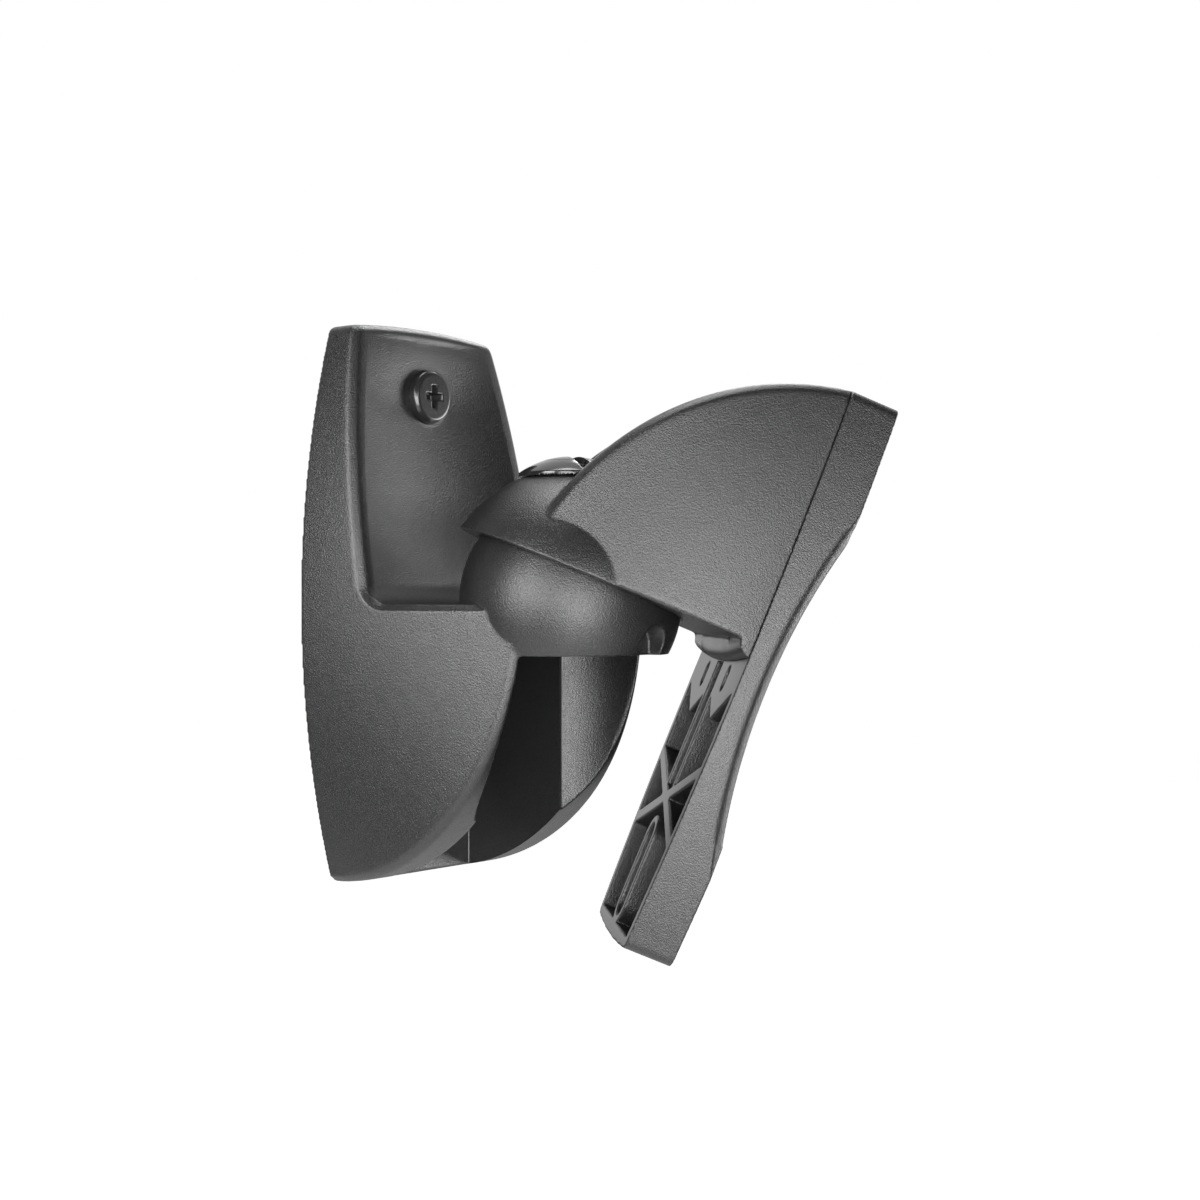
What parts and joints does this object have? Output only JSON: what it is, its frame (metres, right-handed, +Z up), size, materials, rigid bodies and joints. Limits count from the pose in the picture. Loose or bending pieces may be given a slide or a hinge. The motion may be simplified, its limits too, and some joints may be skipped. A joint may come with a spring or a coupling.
{
  "type": "speaker wall bracket",
  "caption": "Wall bracket for a small loudspeaker: a plate with a ball, and a domed arm that swivels and tilts on it and carries the speaker.",
  "frame": {"origin": "on the wall plate's back face, on its middle line, level with the ball's centre", "axes": "+X along the wall to the right seen from the room, -Y out from the wall, +Z up"},
  "size_m": [0.075, 0.0907, 0.1095],
  "materials": {
    "moulding": "fine spark-eroded grain",
    "cap": "smooth semi-gloss",
    "screw": "semi-gloss",
    "steel": "zinc plated"
  },
  "bodies": {
    "wall_side": {"wall_bracket": "moulding", "clamp_screw": "screw", "clamp_nut": "steel", "wall_screw_upper": "screw", "wall_screw_lower": "screw"},
    "clamp_cap": {"saddle_cap": "cap"},
    "speaker_side": {"speaker_arm": "moulding", "speaker_plate": "moulding", "plate_screw_lower": "screw", "plate_screw_upper": "screw"}
  },
  "joints": [
    {"name": "swivel", "type": "hinge", "parent": "wall_side", "child": "clamp_cap", "pos_m": [0, -0.04, 0], "axis": [0, 0, 1], "range_deg": [-89.2, 0.8]},
    {"name": "tilt", "type": "hinge", "parent": "clamp_cap", "child": "speaker_side", "pos_m": [0, -0.04, 0], "axis": [0.7169, 0.6972, 0], "range_deg": [-22.7, 2.3]}
  ]
}
